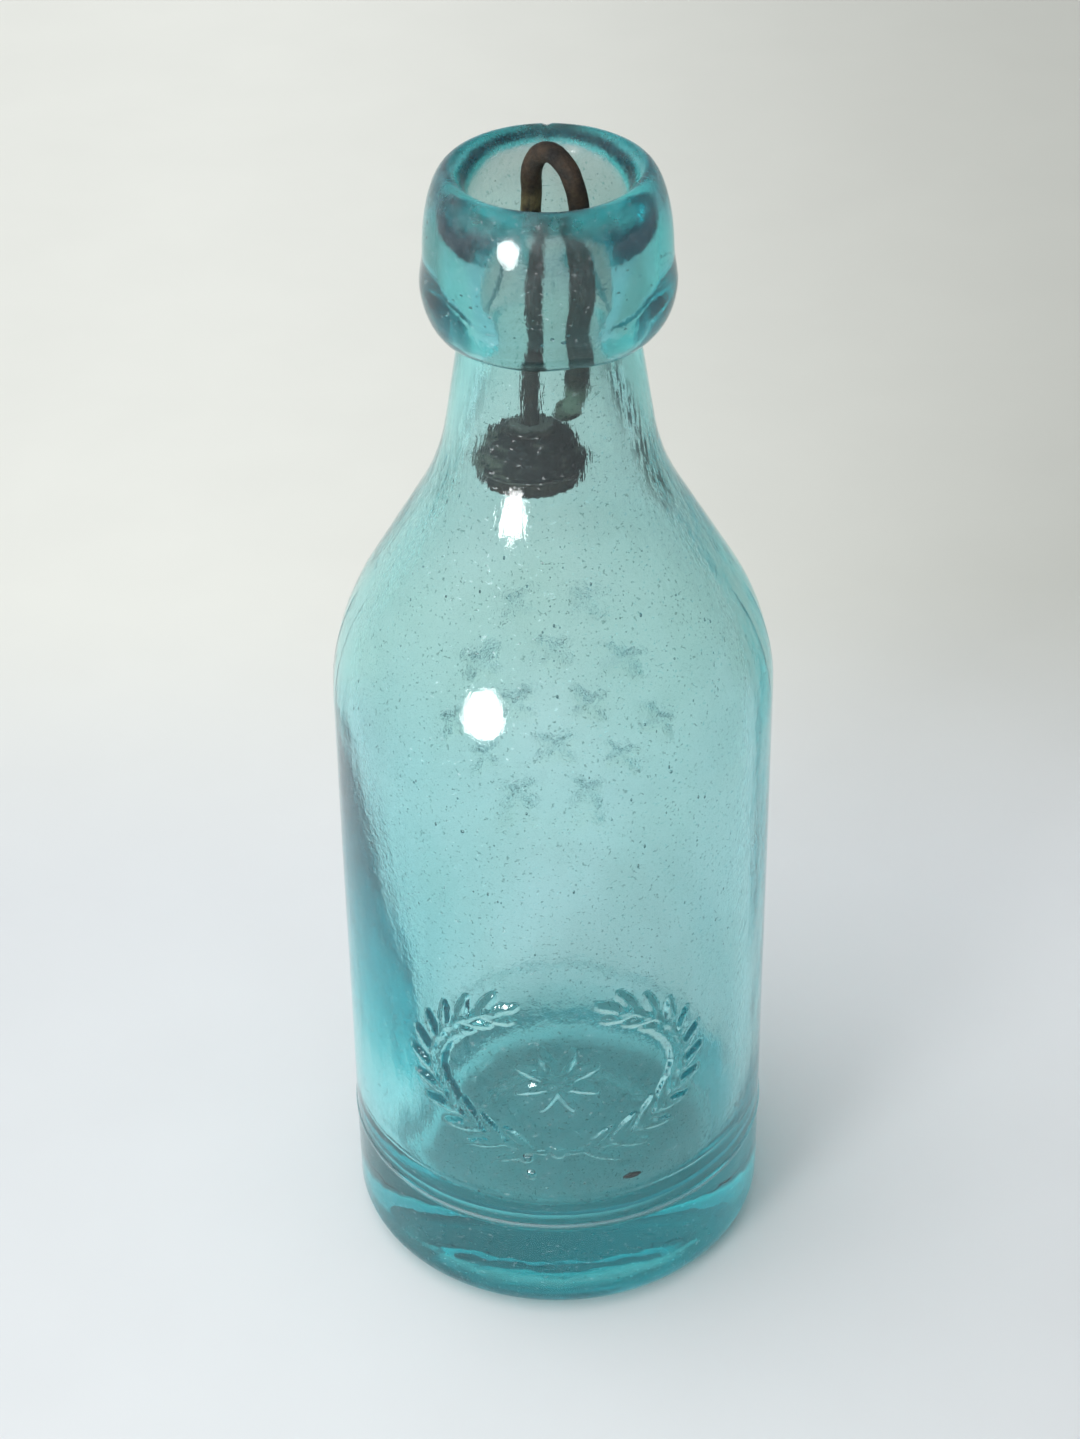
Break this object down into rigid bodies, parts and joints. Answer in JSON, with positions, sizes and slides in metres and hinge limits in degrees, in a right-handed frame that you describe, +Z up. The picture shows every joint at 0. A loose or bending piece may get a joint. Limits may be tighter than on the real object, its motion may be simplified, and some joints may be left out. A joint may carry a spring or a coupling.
{
  "type": "hutchinson bottle",
  "caption": "Aqua glass soda bottle with sloping shoulder, thick applied lip and an internal spring-wire loop stopper that pulls up to seal the throat.",
  "frame": {"origin": "centre of the base, at the height of the flat ring that the bottle stands on", "axes": "+Z up along the bottle's axis, -Y towards the viewer of the picture, +X to the viewer's right"},
  "size_m": [0.0616, 0.0616, 0.1752],
  "materials": {
    "body_glass": "aqua mould-blown glass, smooth with fine seed bubbles",
    "lip_glass": "thick tooled aqua glass",
    "wire": "rusted iron wire with a brown and olive patina",
    "upper_plate": "corroded pressed iron",
    "gasket_rubber": "hardened black rubber, crusted",
    "lower_plate": "corroded pressed iron"
  },
  "bodies": {
    "bottle": {"bottle_body": "body_glass", "applied_lip": "lip_glass"},
    "stopper": {"spring_wire": "wire", "upper_plate": "upper_plate", "rubber_gasket": "gasket_rubber", "lower_plate": "lower_plate"}
  },
  "joints": [
    {"name": "stopper_slide", "type": "slide", "parent": "bottle", "child": "stopper", "axis": [0.166, 0, 0.9861], "range_m": [-0.0036, 0.01505]}
  ]
}
